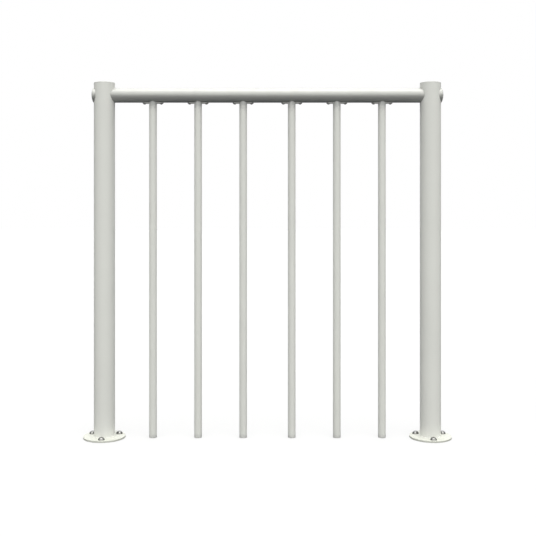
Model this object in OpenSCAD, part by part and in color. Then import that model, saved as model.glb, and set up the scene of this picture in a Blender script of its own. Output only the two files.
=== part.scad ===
// Landing railing: one bay of powder-coated steel tube.
// Two round posts stand on screwed-down flanges. A round top rail runs through both posts,
// and six balusters hang from its underside on screwed straps and reach down to the floor.
// Frame: origin at the centre of the left flange's underside, +X along the rail to the
// right post, +Y to the back, +Z up. Sizes are in millimetres.

/* [Bay] */
// Distance between the axes of the two posts
post_pitch = 940; // [700:10:1200]
// Height of the top rail's axis above the floor
rail_axis_z = 986; // [700:2:1200]
// How much wider the middle space and the two end spaces are than the others
wide_space_extra = 10; // [0:1:40]

/* [Posts] */
// Outside diameter of the post tube
post_d = 60; // [48:1:90]
// Wall of the post tube
post_wall = 3; // [2:0.5:5]
// Thickness of the post cap's plate
post_cap_t = 3; // [2:0.5:6]
// Radius of the rounded upper edge of the post cap
post_cap_edge_r = 1; // [0.5:0.1:1.5]
// Depth of the spigot that centres the cap in the post
post_cap_spigot = 8; // [4:1:30]
// Space inside the post between the top rail and the cap's spigot
cap_above_rail = 3.8; // [1:0.1:60]

/* [Base flanges] */
// How far the round flange reaches out from the post's surface
flange_reach = 30; // [24:1:60]
// Thickness of the base flange
flange_t = 5; // [4:0.5:10]
// Radius of the eased upper edge of the base flange
flange_edge_r = 0.5; // [0.2:0.1:1.5]
// Diameter of the floor screw's shank
floor_shank_d = 10; // [6:1:14]
// Diameter of the floor screw's domed head
floor_head_d = 19; // [15:1:21]
// Height of the floor screw's domed head
floor_head_h = 8; // [5:0.5:9]

/* [Top rail] */
// Outside diameter of the top rail tube
rail_d = 42.4; // [30:0.1:52]
// Wall of the top rail tube
rail_wall = 2.6; // [2:0.1:4]
// Height of the straight rim of the rail's end cap
rail_cap_rim = 1.5; // [1:0.1:4]
// Height of the dome on the rail's end cap
rail_cap_dome = 5; // [2:0.5:12]
// Length of the end cap's plug inside the rail
rail_cap_plug = 14; // [6:1:40]

/* [Balusters] */
// Outside diameter of the baluster tube
baluster_d = 22; // [18:0.5:28]
// Wall of the baluster tube
baluster_wall = 1.5; // [1:0.1:2.5]

/* [Straps] */
// Distance of each strap screw's axis from the baluster's surface
strap_screw_offset = 13; // [7:0.5:25]
// How far the strap reaches past the screw's head, all round
strap_margin = 1.25; // [0.5:0.05:3]
// Thickness of the strap
strap_t = 2.5; // [2:0.1:4]
// Diameter of the strap screw's shank
strap_shank_d = 5; // [3:0.5:6]
// Diameter of the strap screw's button head
strap_head_d = 9.5; // [8:0.5:11]
// Height of the strap screw's button head
strap_head_h = 2.75; // [2:0.05:4]
// Size across flats of the hexagon socket in the button head
strap_socket_af = 3; // [2:0.5:4]
// Depth of the hexagon socket in the button head
strap_socket_depth = 1.5; // [1:0.1:1.8]

/* [Fits] */
// Radial clearance of the rail in the holes through the posts
rail_fit = 0.2; // [0.1:0.05:0.4]
// Gap between the rail's underside and the balusters and straps below it
seat_gap = 0.2; // [0.1:0.05:0.4]
// Radial clearance of a spigot or plug in its tube
plug_fit = 0.2; // [0.1:0.05:0.4]
// Radial clearance of a screw's shank in a flange or strap
screw_hole_fit = 0.5; // [0.25:0.05:0.6]
// Radial clearance of a strap screw in the rail's wall
rail_hole_fit = 0.1; // [0.05:0.05:0.3]
// Side clearance of a strap in the notches of its baluster
notch_fit = 0.1; // [0.05:0.05:0.3]
// Free length of a strap screw beyond the rail's wall
strap_screw_tail = 3; // [1:0.5:8]

/* [Hidden] */
$fn = 64;
// Overshoot of every cutting shape, so that no cut ends flush with a face
over = 1;
// Lap of two shapes that are joined into one solid
lap = 0.5;

baluster_count = 6;
half_count = baluster_count / 2;
baluster_pitch = (post_pitch - 3 * wide_space_extra) / (baluster_count + 1);
end_space = baluster_pitch + wide_space_extra;

post_tube_top = rail_axis_z + rail_d / 2 + cap_above_rail + post_cap_spigot;
rail_length = post_pitch + post_d;
rail_left_end = -post_d / 2;
rail_right_end = post_pitch + post_d / 2;
rail_seat_z = rail_axis_z - rail_d / 2 - seat_gap;
strap_bottom_z = rail_seat_z - strap_t;
strap_w = strap_head_d + 2 * strap_margin;
strap_screw_pitch = baluster_d + 2 * strap_screw_offset;
flange_d = post_d + 2 * flange_reach;
floor_screw_circle_r = (post_d + flange_reach) / 2;
strap_shank_len = strap_t + seat_gap + rail_wall + strap_screw_tail;

coat = [0.83, 0.83, 0.81];
plate = [0.88, 0.88, 0.86];
steel = [0.45, 0.45, 0.46];

sides = ["left", "right"];
ends = ["left", "right"];
screw_places = ["front", "back_right", "back_left"];
screw_angles = [-90, 30, 150];

// Distance of post number side (0 left, 1 right) from the left post
function post_x(side) = side * post_pitch;

// Distance of baluster number k, counted from 1, from the left post
function baluster_x(k) =
    end_space + (k - 1) * baluster_pitch + (k > half_count ? wide_space_extra : 0);

// Distance of strap screw number end (0 left, 1 right) from its baluster's axis
function strap_screw_x(end) = (end - 0.5) * strap_screw_pitch;

// Straight round tube that stands on z = 0
module tube(d, wall, h) {
    difference() {
        cylinder(d = d, h = h);
        translate([0, 0, -over]) cylinder(d = d - 2 * wall, h = h + 2 * over);
    }
}

// Spherical cap with its flat side on z = 0
module dome(d, h) {
    cap_r = (d * d / 4 + h * h) / (2 * h);
    intersection() {
        cylinder(d = d, h = h);
        translate([0, 0, h - cap_r]) sphere(r = cap_r, $fn = 96);
    }
}

// Round plate on z = 0 whose upper edge is rounded to edge_r
module eased_disc(d, t, edge_r) {
    rotate_extrude() {
        square([d / 2 - edge_r, t]);
        square([d / 2, t - edge_r]);
        translate([d / 2 - edge_r, t - edge_r]) circle(r = edge_r, $fn = 32);
    }
}

// Plate that the post is welded to, with three holes for the floor screws
module base_flange(side) {
    color(plate) translate([post_x(side), 0, 0]) difference() {
        eased_disc(flange_d, flange_t, flange_edge_r);
        for (angle = screw_angles) rotate([0, 0, angle])
            translate([floor_screw_circle_r, 0, -over])
                cylinder(d = floor_shank_d + 2 * screw_hole_fit, h = flange_t + 2 * over, $fn = 48);
    }
}

// Post tube on its flange, with a hole across it for the top rail
module post(side) {
    color(coat) translate([post_x(side), 0, 0]) difference() {
        translate([0, 0, flange_t]) tube(post_d, post_wall, post_tube_top - flange_t);
        translate([-post_d / 2 - over, 0, rail_axis_z]) rotate([0, 90, 0])
            cylinder(d = rail_d + 2 * rail_fit, h = post_d + 2 * over);
    }
}

// Lid of the post, with a spigot that centres it in the tube
module post_cap(side) {
    color(coat) translate([post_x(side), 0, post_tube_top]) {
        eased_disc(post_d, post_cap_t, post_cap_edge_r);
        translate([0, 0, -post_cap_spigot])
            cylinder(d = post_d - 2 * post_wall - 2 * plug_fit, h = post_cap_spigot + lap);
    }
}

// Screw through the flange: a domed head, and a shank down to the floor's level
module floor_screw(side, place) {
    color(steel) translate([post_x(side), 0, 0]) rotate([0, 0, screw_angles[place]])
        translate([floor_screw_circle_r, 0, 0]) {
            cylinder(d = floor_shank_d, h = flange_t + lap, $fn = 48);
            translate([0, 0, flange_t]) dome(floor_head_d, floor_head_h);
        }
}

// Tube that runs through both posts, with a hole in its underside for each strap screw
module top_rail() {
    color(coat) difference() {
        translate([rail_left_end, 0, rail_axis_z]) rotate([0, 90, 0])
            tube(rail_d, rail_wall, rail_length);
        for (k = [1:baluster_count], end = [0, 1])
            translate([baluster_x(k) + strap_screw_x(end), 0, rail_seat_z])
                cylinder(d = strap_shank_d + 2 * rail_hole_fit, h = rail_d / 2, $fn = 48);
    }
}

// Domed cap on the end of the top rail, held by a plug inside the tube
module rail_end_cap(side) {
    end_x = side == 0 ? rail_left_end : rail_right_end;
    outward = side == 0 ? -90 : 90;
    color(coat) translate([end_x, 0, rail_axis_z]) rotate([0, outward, 0]) {
        cylinder(d = rail_d, h = rail_cap_rim);
        translate([0, 0, rail_cap_rim]) dome(rail_d, rail_cap_dome);
        translate([0, 0, -rail_cap_plug])
            cylinder(d = rail_d - 2 * rail_wall - 2 * plug_fit, h = rail_cap_plug + lap);
    }
}

// Baluster tube: coped at the top to the rail's underside, and notched there for its strap
module baluster(k) {
    color(coat) translate([baluster_x(k), 0, 0]) difference() {
        tube(baluster_d, baluster_wall, rail_axis_z);
        translate([-baluster_d, 0, rail_axis_z]) rotate([0, 90, 0])
            cylinder(r = rail_d / 2 + seat_gap, h = 2 * baluster_d);
        translate([-baluster_d, -strap_w / 2 - notch_fit, strap_bottom_z])
            cube([2 * baluster_d, strap_w + 2 * notch_fit, rail_d]);
    }
}

// Flat strap let into the top of a baluster, with a screw hole in each half-round end
module strap(k) {
    color(coat) translate([baluster_x(k), 0, strap_bottom_z]) difference() {
        linear_extrude(strap_t) {
            square([strap_screw_pitch, strap_w], center = true);
            for (end = [0, 1]) translate([strap_screw_x(end), 0]) circle(d = strap_w);
        }
        for (end = [0, 1]) translate([strap_screw_x(end), 0, -over])
            cylinder(d = strap_shank_d + 2 * screw_hole_fit, h = strap_t + 2 * over, $fn = 48);
    }
}

// Button-head screw that goes up through the strap into the rail's wall
module strap_screw(k, end) {
    color(steel) translate([baluster_x(k) + strap_screw_x(end), 0, strap_bottom_z])
        difference() {
            union() {
                cylinder(d = strap_shank_d, h = strap_shank_len, $fn = 48);
                rotate([180, 0, 0]) dome(strap_head_d, strap_head_h);
            }
            translate([0, 0, -strap_head_h - over])
                cylinder(d = strap_socket_af / cos(30), h = strap_socket_depth + over, $fn = 6);
        }
}

for (side = [0, 1]) {
    base_flange(side);
    post(side);
    post_cap(side);
    rail_end_cap(side);
    for (place = [0:2])
        floor_screw(side, place);
}
top_rail();
for (k = [1:baluster_count]) {
    baluster(k);
    strap(k);
    for (end = [0, 1])
        strap_screw(k, end);
}
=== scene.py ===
import math

import bmesh
import bpy
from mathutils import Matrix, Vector


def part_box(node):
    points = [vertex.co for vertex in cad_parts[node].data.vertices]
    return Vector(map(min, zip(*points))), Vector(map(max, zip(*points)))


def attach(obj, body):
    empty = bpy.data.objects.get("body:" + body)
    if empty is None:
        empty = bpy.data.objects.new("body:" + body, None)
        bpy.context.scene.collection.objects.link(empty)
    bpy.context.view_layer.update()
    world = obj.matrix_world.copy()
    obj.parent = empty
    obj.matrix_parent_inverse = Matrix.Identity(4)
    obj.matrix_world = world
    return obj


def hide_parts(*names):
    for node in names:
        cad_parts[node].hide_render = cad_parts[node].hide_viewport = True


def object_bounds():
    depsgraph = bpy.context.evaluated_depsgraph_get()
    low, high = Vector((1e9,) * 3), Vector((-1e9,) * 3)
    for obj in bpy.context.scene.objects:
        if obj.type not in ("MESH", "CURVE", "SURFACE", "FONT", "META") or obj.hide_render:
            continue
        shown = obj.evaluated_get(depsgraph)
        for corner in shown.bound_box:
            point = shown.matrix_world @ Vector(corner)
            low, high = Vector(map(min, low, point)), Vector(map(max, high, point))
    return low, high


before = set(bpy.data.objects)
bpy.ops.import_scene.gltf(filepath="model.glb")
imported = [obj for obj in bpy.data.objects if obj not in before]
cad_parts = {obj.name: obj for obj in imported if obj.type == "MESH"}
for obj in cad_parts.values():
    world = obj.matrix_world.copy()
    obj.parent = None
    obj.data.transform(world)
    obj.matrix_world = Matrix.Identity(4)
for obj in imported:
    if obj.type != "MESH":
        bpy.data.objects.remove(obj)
cad_low, cad_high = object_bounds()

# The camera stands level in front of the middle of the bay, a little under two thirds of
# the way up the posts. Its lens is shifted down, so posts and balusters stay parallel.
camera_distance = 2.376
camera_height = 0.6455
sensor_width = 36
focal_length = 55.33
lens_shift = (0.00104, -0.1019)
bay_middle = (cad_low.x + cad_high.x) / 2
bpy.ops.object.camera_add(
    location=(bay_middle, -camera_distance, camera_height), rotation=(math.pi / 2, 0, 0)
)
camera = bpy.context.object
camera.data.sensor_width = sensor_width
camera.data.lens = focal_length
camera.data.shift_x, camera.data.shift_y = lens_shift
bpy.context.scene.camera = camera
bpy.context.scene.view_settings.view_transform = "Standard"


# The light: one very broad soft lamp high in front of the bay, a smaller one a little above
# its middle, and a weaker one low behind the bay, so that the back is lit too.
def soft_lamp(strength, spread, elevation, turn, tint):
    """A far lamp. Its spread, its elevation and its turn round the bay are in degrees."""
    slope = math.radians(90 - elevation)
    bpy.ops.object.light_add(type="SUN", rotation=(slope, 0, math.radians(turn)))
    lamp = bpy.context.object.data
    lamp.energy = strength
    lamp.angle = math.radians(spread)
    lamp.color = tint


key_turn = 8.7
key_tint = (1, 1, 0.96)
back_tint = (0.95, 0.97, 1)
soft_lamp(strength=3.62, spread=125, elevation=59, turn=key_turn, tint=key_tint)
soft_lamp(strength=0.7, spread=30, elevation=74, turn=key_turn, tint=key_tint)
soft_lamp(strength=1.1, spread=80, elevation=30, turn=180, tint=back_tint)

# The sky: plain white to the camera. To the railing it is a cool dome that fades from
# overhead down to the horizon.
horizon_fill = (0, 0, 0, 1)
zenith_fill = (0.704, 0.711, 0.735, 1)
plain_white = (1, 1, 1, 1)
world = bpy.data.worlds.new("studio_sky")
bpy.context.scene.world = world
world.use_nodes = True
nodes, links = world.node_tree.nodes, world.node_tree.links
direction = nodes.new("ShaderNodeTexCoord")
height = nodes.new("ShaderNodeSeparateXYZ")
links.new(direction.outputs["Generated"], height.inputs["Vector"])
fill = nodes.new("ShaderNodeMix")
fill.data_type = "RGBA"
fill.inputs["A"].default_value = horizon_fill
fill.inputs["B"].default_value = zenith_fill
links.new(height.outputs["Z"], fill.inputs["Factor"])
shown = nodes.new("ShaderNodeMix")
shown.data_type = "RGBA"
shown.inputs["B"].default_value = plain_white
links.new(fill.outputs["Result"], shown.inputs["A"])
ray = nodes.new("ShaderNodeLightPath")
links.new(ray.outputs["Is Camera Ray"], shown.inputs["Factor"])
links.new(shown.outputs["Result"], nodes["Background"].inputs["Color"])

# The floor: a wide plane just under the flanges. The camera sees it white with the
# railing's faint shadow on it, and it throws little light back up.
floor_size = 60
floor_drop = 0.0005
floor_glow = 0.67
floor_paint = (0.2, 0.2, 0.2, 1)
floor_bounce = (0.062, 0.065, 0.071, 1)
bpy.ops.mesh.primitive_plane_add(
    size=floor_size, location=(bay_middle, 0, cad_low.z - floor_drop)
)
floor = bpy.context.object
floor.name = "studio_floor"
floor_finish = bpy.data.materials.new("studio_floor")
floor_finish.use_nodes = True
nodes, links = floor_finish.node_tree.nodes, floor_finish.node_tree.links
nodes.clear()
glow = nodes.new("ShaderNodeEmission")
glow.inputs["Strength"].default_value = floor_glow
paint = nodes.new("ShaderNodeBsdfDiffuse")
paint.inputs["Color"].default_value = floor_paint
glow_and_paint = nodes.new("ShaderNodeAddShader")
links.new(glow.outputs[0], glow_and_paint.inputs[0])
links.new(paint.outputs[0], glow_and_paint.inputs[1])
bounce = nodes.new("ShaderNodeBsdfDiffuse")
bounce.inputs["Color"].default_value = floor_bounce
floor_look = nodes.new("ShaderNodeMixShader")
ray = nodes.new("ShaderNodeLightPath")
links.new(ray.outputs["Is Camera Ray"], floor_look.inputs["Fac"])
links.new(bounce.outputs[0], floor_look.inputs[1])
links.new(glow_and_paint.outputs[0], floor_look.inputs[2])
floor_output = nodes.new("ShaderNodeOutputMaterial")
links.new(floor_look.outputs[0], floor_output.inputs["Surface"])
floor.data.materials.append(floor_finish)


# Base flanges: a round steel plate under each post, drilled for three floor screws and
# powder coated a shade darker than the post. The coat is satin, with a fine orange peel,
# and has picked up a thin film of dirt along the floor.
def noise_between(tree, place, scale, detail, low, high):
    """A noise in 3-D that wanders from low to high, with lumps about 1 / scale metres wide."""
    # The plain noise seldom leaves this range.
    noise_low, noise_high = 0.3, 0.7
    noise = tree.nodes.new("ShaderNodeTexNoise")
    noise.inputs["Scale"].default_value = scale
    noise.inputs["Detail"].default_value = detail
    tree.links.new(place, noise.inputs["Vector"])
    spread = tree.nodes.new("ShaderNodeMapRange")
    spread.inputs["From Min"].default_value = noise_low
    spread.inputs["From Max"].default_value = noise_high
    spread.inputs["To Min"].default_value = low
    spread.inputs["To Max"].default_value = high
    tree.links.new(noise.outputs["Fac"], spread.inputs["Value"])
    return spread.outputs["Result"]


def bump_from(tree, height, distance, strength, before=None):
    """A bump of the given depth in metres, laid over the one before it."""
    bump = tree.nodes.new("ShaderNodeBump")
    bump.inputs["Distance"].default_value = distance
    bump.inputs["Strength"].default_value = strength
    tree.links.new(height, bump.inputs["Height"])
    if before:
        tree.links.new(before, bump.inputs["Normal"])
    return bump.outputs["Normal"]


def mix_colours(tree, share, first, second, blend="MIX"):
    """A mix of two colours, each given as numbers or as a node's output."""
    mix = tree.nodes.new("ShaderNodeMix")
    mix.data_type = "RGBA"
    mix.blend_type = blend
    tree.links.new(share, mix.inputs["Factor"])
    for socket, colour in ((mix.inputs["A"], first), (mix.inputs["B"], second)):
        if isinstance(colour, tuple):
            socket.default_value = (*colour, 1)
        else:
            tree.links.new(colour, socket)
    return mix.outputs["Result"]


def powder_coat(name, colour, roughness, specular, flake, darker_bands):
    """A powder coat with a share of metal flake in it, and darker bands where dirt gathers or
    where shade is painted.

    Each darker band, of dirt or of painted shade, is given by the height where it ends, the
    height where it is densest and how much of the coat it hides there.
    """
    tone_drift = 0.015
    gloss_drift = 0.05
    speck_tint = (0.93, 0.93, 0.94)
    # Dirt and painted shade both darken the coat towards this colour.
    dirt_and_shade_colour = (0.22, 0.228, 0.24)
    ragged_share = 0.25
    coat = bpy.data.materials.new(name)
    coat.use_nodes = True
    tree = coat.node_tree
    paint = tree.nodes["Principled BSDF"]
    place = tree.nodes.new("ShaderNodeTexCoord").outputs["Object"]

    # The colour drifts by a few hundredths over a hand's width, and fine specks break it up.
    drift = noise_between(tree, place, scale=7, detail=4, low=0, high=1)
    darker = tuple((1 - tone_drift) * c for c in colour)
    lighter = tuple((1 + tone_drift) * c for c in colour)
    look = mix_colours(tree, drift, darker, lighter)
    specks = noise_between(tree, place, scale=1300, detail=1, low=-0.6, high=0.5)
    look = mix_colours(tree, specks, look, speck_tint, blend="MULTIPLY")

    # Dirt and painted shade, with a ragged edge to each band.
    up = tree.nodes.new("ShaderNodeSeparateXYZ")
    tree.links.new(place, up.inputs["Vector"])
    for ends_at, densest_at, share in darker_bands:
        reach = ragged_share * abs(densest_at - ends_at)
        ragged = tree.nodes.new("ShaderNodeMath")
        ragged.operation = "ADD"
        edge = noise_between(tree, place, scale=160, detail=3, low=-reach, high=reach)
        tree.links.new(up.outputs["Z"], ragged.inputs[0])
        tree.links.new(edge, ragged.inputs[1])
        band_strength = tree.nodes.new("ShaderNodeMapRange")
        band_strength.interpolation_type = "SMOOTHSTEP"
        band_strength.inputs["From Min"].default_value = ends_at
        band_strength.inputs["From Max"].default_value = densest_at
        band_strength.inputs["To Min"].default_value = 0
        band_strength.inputs["To Max"].default_value = share
        tree.links.new(ragged.outputs[0], band_strength.inputs["Value"])
        look = mix_colours(tree, band_strength.outputs["Result"], look, dirt_and_shade_colour)
    tree.links.new(look, paint.inputs["Base Color"])

    # Gloss wanders with handling; the orange peel lies over a finer powder grain.
    dull, shiny = roughness + gloss_drift, roughness - gloss_drift
    gloss = noise_between(tree, place, scale=45, detail=3, low=shiny, high=dull)
    tree.links.new(gloss, paint.inputs["Roughness"])
    paint.inputs["Specular IOR Level"].default_value = specular
    paint.inputs["Metallic"].default_value = flake
    grain = noise_between(tree, place, scale=3800, detail=1, low=0, high=1)
    peel = noise_between(tree, place, scale=620, detail=2, low=0, high=1)
    fine = bump_from(tree, grain, distance=0.00001, strength=0.5)
    coarse = bump_from(tree, peel, distance=0.00004, strength=0.6, before=fine)
    tree.links.new(coarse, paint.inputs["Normal"])
    return coat


def finish_solid(name, finish):
    """Gives one of the frame's own solids its finish."""
    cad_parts[name].material_slots[0].material = finish


sides = ("left", "right")
satin = 0.5
satin_shine = 0.25
plate_colour = (0.587, 0.592, 0.539)
plate_dirt = [(0.004, 0, 0.1)]
plate_coat = powder_coat("plate_powder_coat", plate_colour, satin, satin_shine, 0, plate_dirt)
for side in sides:
    finish_solid(f"{side}_base_flange", plate_coat)

# Posts: round steel tube, powder coated and cross-drilled near the top for the rail. The
# edge of each hole is deburred, so that the rail slides through without scratching its coat.
post_colour = (0.699, 0.703, 0.67)
post_dirt = [(0.02, 0, 0.05)]
post_coat = powder_coat("post_powder_coat", post_colour, satin, satin_shine, 0, post_dirt)
post_wall = 0.003
saddle_gap = 0.0002
deburred = 0.0005
tube_facets = 128
# Faces that meet at less than this angle are shaded as one curve.
smooth_below = math.radians(32)
# A corner of a mesh that lies this near to an edge's place belongs to that edge.
near = 0.0001
# A cutter is this many times as big as what it has to pass through.
cut_through = 3
post_low, post_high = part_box("left_post")
post_x = (post_low.x + post_high.x) / 2
post_radius = (post_high.x - post_low.x) / 2
post_step = Vector((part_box("right_post")[0].x - post_low.x, 0, 0))
rail_low, rail_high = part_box("top_rail")
rail_radius = (rail_high.z - rail_low.z) / 2
rail_axis = (rail_high.z + rail_low.z) / 2


def only_active(piece):
    """Selects one object and nothing else."""
    bpy.ops.object.select_all(action="DESELECT")
    piece.select_set(True)
    bpy.context.view_layer.objects.active = piece


def apply_modifier(piece, kind, **values):
    """Adds a modifier, sets it up and applies it."""
    modifier = piece.modifiers.new(kind.lower(), kind)
    for key, value in values.items():
        setattr(modifier, key, value)
    only_active(piece)
    bpy.ops.object.modifier_apply(modifier=modifier.name)


def cut(piece, cutter):
    """Cuts the cutter's shape out of the piece and throws the cutter away."""
    apply_modifier(piece, "BOOLEAN", operation="DIFFERENCE", solver="EXACT", object=cutter)
    bpy.data.objects.remove(cutter)


def pick(piece, wanted):
    """Opens the piece for editing with the edges picked for which wanted(end, end) is true."""
    only_active(piece)
    bpy.ops.object.mode_set(mode="EDIT")
    bpy.ops.mesh.select_mode(type="EDGE")
    bpy.ops.mesh.select_all(action="DESELECT")
    shape = bmesh.from_edit_mesh(piece.data)
    for edge in shape.edges:
        edge.select_set(wanted(*(piece.matrix_world @ end.co for end in edge.verts)))
    bmesh.update_edit_mesh(piece.data)


def round_edges(piece, wanted, width, segments):
    """Rounds the edges for which wanted(end, end) is true."""
    pick(piece, wanted)
    bpy.ops.mesh.bevel(offset=width, segments=segments, profile=0.5, affect="EDGES")
    bpy.ops.object.mode_set(mode="OBJECT")


def tube(radius, wall, low, high, middle, facets):
    """An upright open tube between two heights."""
    bpy.ops.mesh.primitive_cylinder_add(
        vertices=facets,
        radius=radius,
        depth=high - low,
        end_fill_type="NOTHING",
        location=(middle, 0, (low + high) / 2),
    )
    piece = bpy.context.object
    apply_modifier(piece, "SOLIDIFY", thickness=wall, offset=-1, use_even_offset=True)
    return piece


def rail_shaped_cutter(middle, length, gap):
    """A lying cylinder in the rail's place, wider than the rail by gap all round."""
    bpy.ops.mesh.primitive_cylinder_add(
        vertices=tube_facets,
        radius=rail_radius + gap,
        depth=length,
        location=(middle, 0, rail_axis),
        rotation=(0, math.pi / 2, 0),
    )
    return bpy.context.object


def copy_moved(piece, step):
    """A copy of the piece with its own mesh, moved by step."""
    only_active(piece)
    bpy.ops.object.duplicate(linked=False)
    bpy.ops.transform.translate(value=step)
    return bpy.context.object


def hand_over(piece, name, finish, slot, *replaced):
    """Puts a finished piece's place into its mesh, smooths, names and joins it to the frame."""
    only_active(piece)
    bpy.ops.object.transform_apply(location=True, rotation=True, scale=True)
    bpy.ops.object.shade_smooth_by_angle(angle=smooth_below)
    apply_modifier(piece, "WEIGHTED_NORMAL", keep_sharp=True)
    piece.name = name
    piece.data.materials.clear()
    piece.data.materials.append(finish)
    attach(piece, "root")
    if replaced:
        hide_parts(*replaced)


def on_post_edge(*ends):
    """True round the rail's holes and the top end, where they meet the post's outer face."""
    return all(
        math.hypot(end.x - post_x, end.y) > post_radius - near
        and (
            abs(math.hypot(end.y, end.z - rail_axis) - rail_radius - saddle_gap) < near
            or end.z > post_high.z - near
        )
        for end in ends
    )


left_post = tube(post_radius, post_wall, post_low.z, post_high.z, post_x, tube_facets)
cut(left_post, rail_shaped_cutter(post_x, cut_through * post_radius, saddle_gap))
round_edges(left_post, on_post_edge, deburred, segments=2)
right_post = copy_moved(left_post, post_step)
hand_over(left_post, "left_post_tube", post_coat, "coated_tube", "left_post")
hand_over(right_post, "right_post_tube", post_coat, "coated_tube", "right_post")

# Base welds: a small round bead run round the foot of each post before coating. It carries
# the close, even ripples of a weld made on a turntable.
bead_leg = 0.001
# The sliver of each leg that the rounding of the bead leaves flat.
bead_flat = 0.00002
bead_segments = 5
ripple_pitch = 0.0022
ripple_depth = 0.00018
rings_to_a_ripple = 4
bead_radius = post_radius + bead_leg
bead_top = post_low.z + bead_leg
ripples = round(2 * math.pi * bead_radius / ripple_pitch)


def on_bead_shoulder(*ends):
    """True round the upper outer edge of the short tube that the bead is made from."""
    return all(
        end.z > bead_top - near and math.hypot(end.x - post_x, end.y) > bead_radius - near
        for end in ends
    )


def in_ripple_groove(*ends):
    """True on every fourth ring of the bead's round face, and false along its two toes."""
    turns = [math.atan2(end.y, end.x - post_x) / (2 * math.pi) * ripples for end in ends]
    free = [
        end.z > post_low.z + near and math.hypot(end.x - post_x, end.y) > post_radius + near
        for end in ends
    ]
    return all(free) and all(abs(turn - round(turn)) < 0.5 / rings_to_a_ripple for turn in turns)


left_bead = tube(
    bead_radius, bead_leg, post_low.z, bead_top, post_x, ripples * rings_to_a_ripple
)
round_edges(left_bead, on_bead_shoulder, bead_leg - bead_flat, bead_segments)
pick(left_bead, in_ripple_groove)
bpy.ops.transform.shrink_fatten(value=-ripple_depth)
bpy.ops.object.mode_set(mode="OBJECT")
right_bead = copy_moved(left_bead, post_step)
hand_over(left_bead, "left_base_weld", post_coat, "coated_tube")
hand_over(right_bead, "right_base_weld", post_coat, "coated_tube")

# Post caps: pressed steel discs with a rounded rim, coated like the posts and driven in.
# Their flat tops hold a film of dust.
dust_share = 0.44
dust_ends = 0.0008
cap_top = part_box("left_post_cap")[1].z
cap_dust = [(cap_top - dust_ends, cap_top, dust_share)]
cap_coat = powder_coat("cap_powder_coat", post_colour, satin, satin_shine, 0, cap_dust)
for side in sides:
    finish_solid(f"{side}_post_cap", cap_coat)


# Floor screws: heavy domed steel screws through each flange. They are bright zinc plated
# steel that has dulled, with the fine turned marks of their heads.
def bare_steel(name, colour, roughness, scratch_scale):
    """Machined steel with fine scratches, uneven shine and a little darkening in patches."""
    darkest, lightest = 0.8, 1.12
    shiniest, dullest = 0.7, 1.3
    steel = bpy.data.materials.new(name)
    steel.use_nodes = True
    tree = steel.node_tree
    metal = tree.nodes["Principled BSDF"]
    metal.inputs["Metallic"].default_value = 1
    place = tree.nodes.new("ShaderNodeTexCoord").outputs["Object"]

    # The steel darkens in patches, and some of it is shinier than the rest.
    wear = noise_between(tree, place, scale=380, detail=4, low=0, high=1)
    darkened = tuple(darkest * c for c in colour)
    rubbed = tuple(lightest * c for c in colour)
    tree.links.new(mix_colours(tree, wear, darkened, rubbed), metal.inputs["Base Color"])
    polished, dull = shiniest * roughness, dullest * roughness
    shine = noise_between(tree, place, scale=900, detail=3, low=polished, high=dull)
    tree.links.new(shine, metal.inputs["Roughness"])

    # The scratches are drawn out along the way in which the tool ran.
    stretched = tree.nodes.new("ShaderNodeMapping")
    stretched.inputs["Scale"].default_value = scratch_scale
    tree.links.new(place, stretched.inputs["Vector"])
    drawn_out = stretched.outputs["Vector"]
    scratches = noise_between(tree, drawn_out, scale=1, detail=3, low=0, high=1)
    fine = bump_from(tree, scratches, distance=0.000015, strength=0.5)
    tree.links.new(fine, metal.inputs["Normal"])
    return steel


zinc_colour = (0.27, 0.268, 0.26)
zinc_roughness = 0.12
turned_marks = (900, 900, 5200)
zinc_plate = bare_steel("zinc_plated_steel", zinc_colour, zinc_roughness, turned_marks)
corners = ("front", "back_right", "back_left")
for side in sides:
    for corner in corners:
        finish_solid(f"{side}_floor_screw_{corner}", zinc_plate)

# Top rail: one length of round steel tube that runs through both posts. Its coat is
# darker than theirs, with metal flake under a clear lacquer that hands have polished.
rail_colour = (0.437, 0.44, 0.418)
rail_roughness = 0.53
rail_shine = 0.8
rail_flake = 0.35
lacquer_roughness = 0.29
rail_coat = powder_coat("rail_coat", rail_colour, rail_roughness, rail_shine, rail_flake, [])
lacquer = rail_coat.node_tree.nodes["Principled BSDF"]
lacquer.inputs["Coat Weight"].default_value = 1
lacquer.inputs["Coat Roughness"].default_value = lacquer_roughness
finish_solid("top_rail", rail_coat)

# Rail end caps: shallow turned domes with an eased shoulder and a plug that is driven into
# the rail's end. They are coated with the rail, and a fine seam is left between the two.
end_cap_low, end_cap_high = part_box("left_rail_end_cap")
cap_rim = 0.0015
cap_plug_gap = 0.0028
cap_shoulder = 0.0008
cap_seam = 0.0002
dome_steps = 14
plug_length = end_cap_high.x - rail_low.x
rim_outer_x = rail_low.x - cap_rim
dome_height = rim_outer_x - end_cap_low.x
dome_curve = (rail_radius**2 + dome_height**2) / (2 * dome_height)


def pick_end_face(piece, way):
    """Opens the piece for editing with its outermost face towards x times way picked."""
    only_active(piece)
    bpy.ops.object.mode_set(mode="EDIT")
    bpy.ops.mesh.select_mode(type="FACE")
    bpy.ops.mesh.select_all(action="DESELECT")
    shape = bmesh.from_edit_mesh(piece.data)
    turned = piece.matrix_world.to_3x3()
    ends = [face for face in shape.faces if (turned @ face.normal).x * way > 0.99]
    reach = {face: (piece.matrix_world @ face.calc_center_median()).x * way for face in ends}
    max(ends, key=reach.get).select_set(True)
    bmesh.update_edit_mesh(piece.data)


def on_cap_ring(ring_x):
    """A test that is true round the outside of the left end cap at ring_x."""
    return lambda *ends: all(
        abs(end.x - ring_x) < near and math.hypot(end.y, end.z - rail_axis) > rail_radius - near
        for end in ends
    )


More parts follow.
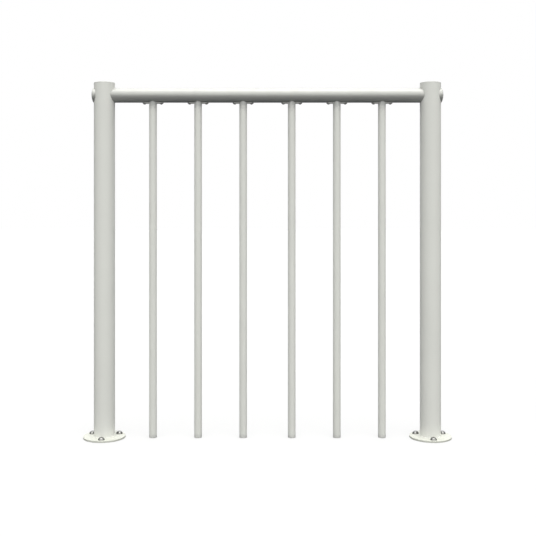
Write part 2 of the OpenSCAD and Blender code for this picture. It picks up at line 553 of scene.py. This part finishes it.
bpy.ops.mesh.primitive_cylinder_add(
    vertices=tube_facets,
    radius=rail_radius,
    depth=cap_rim,
    location=(rail_low.x - cap_rim / 2, 0, rail_axis),
    rotation=(0, math.pi / 2, 0),
)
left_cap = bpy.context.object
pick_end_face(left_cap, -1)
for step in range(1, dome_steps):
    reaches = [rail_radius * (1 - ring / dome_steps) for ring in (step - 1, step)]
    rises = [math.sqrt(dome_curve**2 - reach**2) for reach in reaches]
    bpy.ops.mesh.inset(thickness=reaches[0] - reaches[1], depth=rises[1] - rises[0])
bpy.ops.object.mode_set(mode="OBJECT")
pick_end_face(left_cap, 1)
bpy.ops.mesh.inset(thickness=cap_plug_gap)
bpy.ops.mesh.extrude_region_move(TRANSFORM_OT_translate={"value": (plug_length, 0, 0)})
bpy.ops.object.mode_set(mode="OBJECT")
round_edges(left_cap, on_cap_ring(rail_low.x), cap_seam, segments=2)
round_edges(left_cap, on_cap_ring(rim_outer_x), cap_shoulder, segments=5)
right_cap = copy_moved(left_cap, (0, 0, 0))
bpy.ops.transform.rotate(
    value=math.pi, orient_axis="Z", center_override=((rail_low.x + rail_high.x) / 2, 0, rail_axis)
)
hand_over(left_cap, "left_rail_cap_dome", rail_coat, "handrail", "left_rail_end_cap")
hand_over(right_cap, "right_rail_cap_dome", rail_coat, "handrail", "right_rail_end_cap")

# Balusters: thin round steel tube, powder coated, coped at the top to the rail's underside
# and notched there for the strap. The foot is cut square with its edges broken. The coat
# has painted shade at the foot and close under the rail, where the rail's shadow falls.
baluster_count = 6
baluster_wall = 0.0015
baluster_facets = 96
cope_gap = 0.0002
notch_gap = 0.0001
foot_break = 0.0003
baluster_low, baluster_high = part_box("baluster_1")
baluster_x = (baluster_low.x + baluster_high.x) / 2
baluster_radius = (baluster_high.x - baluster_low.x) / 2
strap_low, strap_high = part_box("strap_1")
strap_width = strap_high.y - strap_low.y
# Painted shade: the coat darkens over 14 mm at the foot and over 30 mm under the rail.
under_rail_shade_top = rail_low.z + 0.0012
under_rail_shade_reach = 0.03
baluster_painted_shade = [(0.014, 0, 0.3), (under_rail_shade_top - under_rail_shade_reach, under_rail_shade_top, 0.43)]
baluster_coat = powder_coat(
    "baluster_coat", post_colour, satin, satin_shine, 0, baluster_painted_shade
)


def on_foot_rim(*ends):
    """True round the inner and the outer edge of the tube's lower end."""
    reach = [math.hypot(end.x - baluster_x, end.y) for end in ends]
    at_foot = all(end.z < baluster_low.z + near for end in ends)
    return at_foot and abs(reach[0] - reach[1]) < baluster_wall / 2


def copies_along_rail(piece, like):
    """The first piece and its copies, one in the place of each of the numbered solids."""
    row = [piece]
    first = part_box(f"{like}_1")[0]
    for number in range(2, baluster_count + 1):
        step = Vector((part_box(f"{like}_{number}")[0].x - first.x, 0, 0))
        row.append(copy_moved(piece, step))
    return row


baluster = tube(
    baluster_radius, baluster_wall, baluster_low.z, rail_axis, baluster_x, baluster_facets
)
round_edges(baluster, on_foot_rim, foot_break, segments=2)
cut(baluster, rail_shaped_cutter(baluster_x, cut_through * baluster_radius, cope_gap))
bpy.ops.mesh.primitive_cube_add(size=1, location=(baluster_x, 0, strap_low.z + rail_radius))
notch = bpy.context.object
notch.scale = (cut_through * baluster_radius, strap_width + 2 * notch_gap, 2 * rail_radius)
cut(baluster, notch)
for number, piece in enumerate(copies_along_rail(baluster, "baluster"), start=1):
    name = f"baluster_{number}"
    hand_over(piece, f"{name}_tube", baluster_coat, "coated_tube", name)

# Straps: short flat steel bars with half-round ends, let into the balusters and drilled
# for the two screws that hold them up to the rail. Their edges are tumbled smooth.
strap_hole_radius = 0.003
strap_screw_reach = 0.024
strap_edge = 0.0004
end_facets = 64
hole_facets = 48
strap_thickness = strap_high.z - strap_low.z
strap_colour = (0.45, 0.45, 0.44)
strap_roughness = 0.42
lengthwise_scratches = (500, 4200, 4200)
strap_steel = bare_steel("strap_steel", strap_colour, strap_roughness, lengthwise_scratches)
ways = (-1, 1)


def on_strap_side(way):
    """A test that is true for the half of the bar that lies towards x times way."""
    return lambda *ends: all(way * (end.x - baluster_x) > 0 for end in ends)


def on_strap_face(level):
    """A test that is true all over the face of the bar that lies at level."""
    return lambda *ends: all(abs(end.z - level) < near for end in ends)


bpy.ops.mesh.primitive_cylinder_add(
    vertices=end_facets,
    radius=strap_width / 2,
    depth=strap_thickness,
    location=(baluster_x, 0, (strap_low.z + strap_high.z) / 2),
    rotation=(0, 0, math.pi / end_facets),
)
strap = bpy.context.object
for way in ways:
    pick(strap, on_strap_side(way))
    bpy.ops.transform.translate(value=(way * strap_screw_reach, 0, 0))
    bpy.ops.object.mode_set(mode="OBJECT")
for level in (strap_low.z, strap_high.z):
    round_edges(strap, on_strap_face(level), strap_edge, segments=3)
for way in ways:
    bpy.ops.mesh.primitive_cylinder_add(
        vertices=hole_facets,
        radius=strap_hole_radius,
        depth=cut_through * strap_thickness,
        location=(baluster_x + way * strap_screw_reach, 0, strap_low.z),
    )
    cut(strap, bpy.context.object)
for number, piece in enumerate(copies_along_rail(strap, "strap"), start=1):
    hand_over(piece, f"strap_{number}_bar", strap_steel, "stainless_steel", f"strap_{number}")

# Strap screws: small button-head screws of dark steel, driven up through the straps into
# the rail.
screw_colour = (0.25, 0.25, 0.25)
screw_roughness = 0.3
screw_marks = (1500, 1500, 6000)
screw_steel = bare_steel("strap_screw_steel", screw_colour, screw_roughness, screw_marks)
for number in range(1, baluster_count + 1):
    for side in sides:
        finish_solid(f"strap_screw_{number}_{side}", screw_steel)
